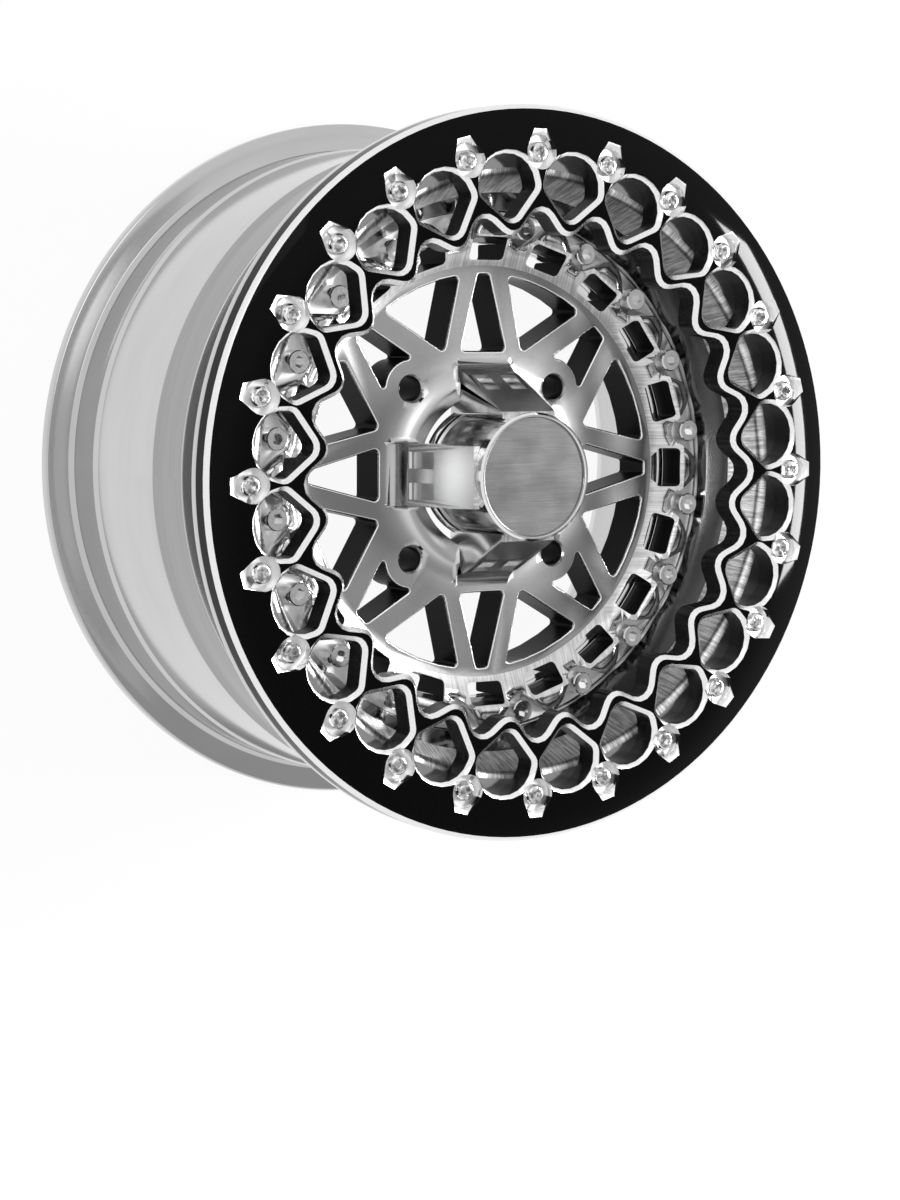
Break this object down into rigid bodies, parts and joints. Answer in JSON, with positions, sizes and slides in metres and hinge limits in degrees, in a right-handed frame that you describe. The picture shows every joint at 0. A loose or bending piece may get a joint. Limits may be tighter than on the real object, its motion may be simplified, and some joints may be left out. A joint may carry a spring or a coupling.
{
  "type": "beadlock wheel",
  "caption": "Three-piece beadlock wheel: pierced billet centre with a hub tower and cap, two bolted rim halves, and a windowed clamp ring that holds the outboard tyre bead.",
  "frame": {"origin": "centre of the wheel's spin axis in the plane of the inboard rim flange's outer edge, which the wheel stands on", "axes": "+Z along the spin axis, out of the outboard face; +X towards a window of the centre and a tower leg"},
  "size_m": [0.4139, 0.414, 0.217],
  "materials": {
    "billet_satin": "satin, fine machining marks",
    "rim_polished": "polished, brushed in rings at the lip",
    "ring_black": "satin black anodised with bright machined edges",
    "bolt_steel": "zinc plated steel",
    "screw_steel": "bright stainless steel",
    "insert_brass": "turned brass",
    "cap_polished": "polished",
    "cap_brushed": "brushed across, bare",
    "rubber_black": "matte rubber",
    "cap_plastic": "matte plastic"
  },
  "bodies": {
    "root": {"wheel_centre": "billet_satin", "inner_rim_half": "rim_polished", "outer_rim_half": "rim_polished", "beadlock_ring": "ring_black", "beadlock_bolts": "bolt_steel", "beadlock_inserts": "insert_brass", "assembly_screws": "screw_steel", "assembly_washers": "bolt_steel", "assembly_nuts": "bolt_steel", "rim_seal": "rubber_black", "cap_body": "cap_polished", "cap_bezel": "cap_polished", "cap_badge": "cap_brushed", "cap_seal": "rubber_black", "valve_stem": "screw_steel", "valve_grommet": "rubber_black", "valve_washer": "bolt_steel", "valve_nut": "bolt_steel", "valve_cap": "cap_plastic", "valve_core": "insert_brass"}
  },
  "joints": []
}
